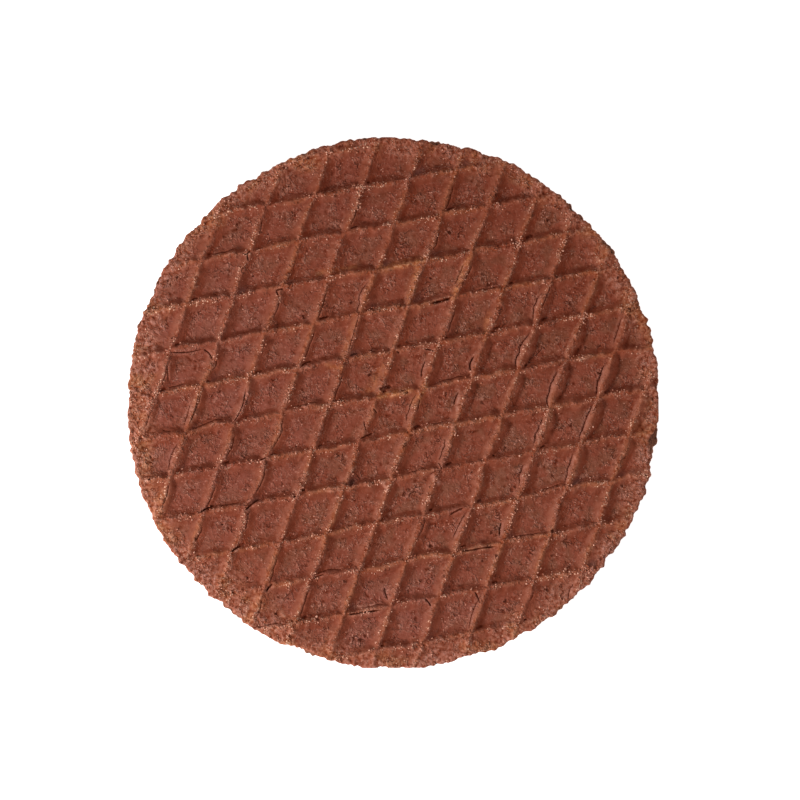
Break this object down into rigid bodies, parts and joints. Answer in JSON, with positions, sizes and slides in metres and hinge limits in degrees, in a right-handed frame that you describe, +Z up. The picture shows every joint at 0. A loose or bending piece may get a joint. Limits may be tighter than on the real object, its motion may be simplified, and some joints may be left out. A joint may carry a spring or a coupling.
{
  "type": "stroopwafel",
  "caption": "Round chocolate stroopwafel: thin waffle discs with a slanted diamond ridge pattern on the outside and a thin layer of caramel syrup between them.",
  "frame": {"origin": "middle of the biscuit's outline, in the plane of the underside's ridge crests that it rests on", "axes": "+Z up out of the patterned top face; the nearly level ridges rise by 10.5 degrees from +X towards +Y, and the steep ridges run at 70.5 degrees from +X"},
  "size_m": [0.085, 0.085, 0.0062],
  "materials": {
    "chocolate_wafer": "dry baked cocoa wafer, reddish brown, matte and slightly grainy",
    "caramel_syrup": "dark sticky caramel, satin to glossy"
  },
  "bodies": {
    "root": {"upper_wafer": "chocolate_wafer", "syrup_filling": "caramel_syrup", "lower_wafer": "chocolate_wafer"}
  },
  "joints": []
}
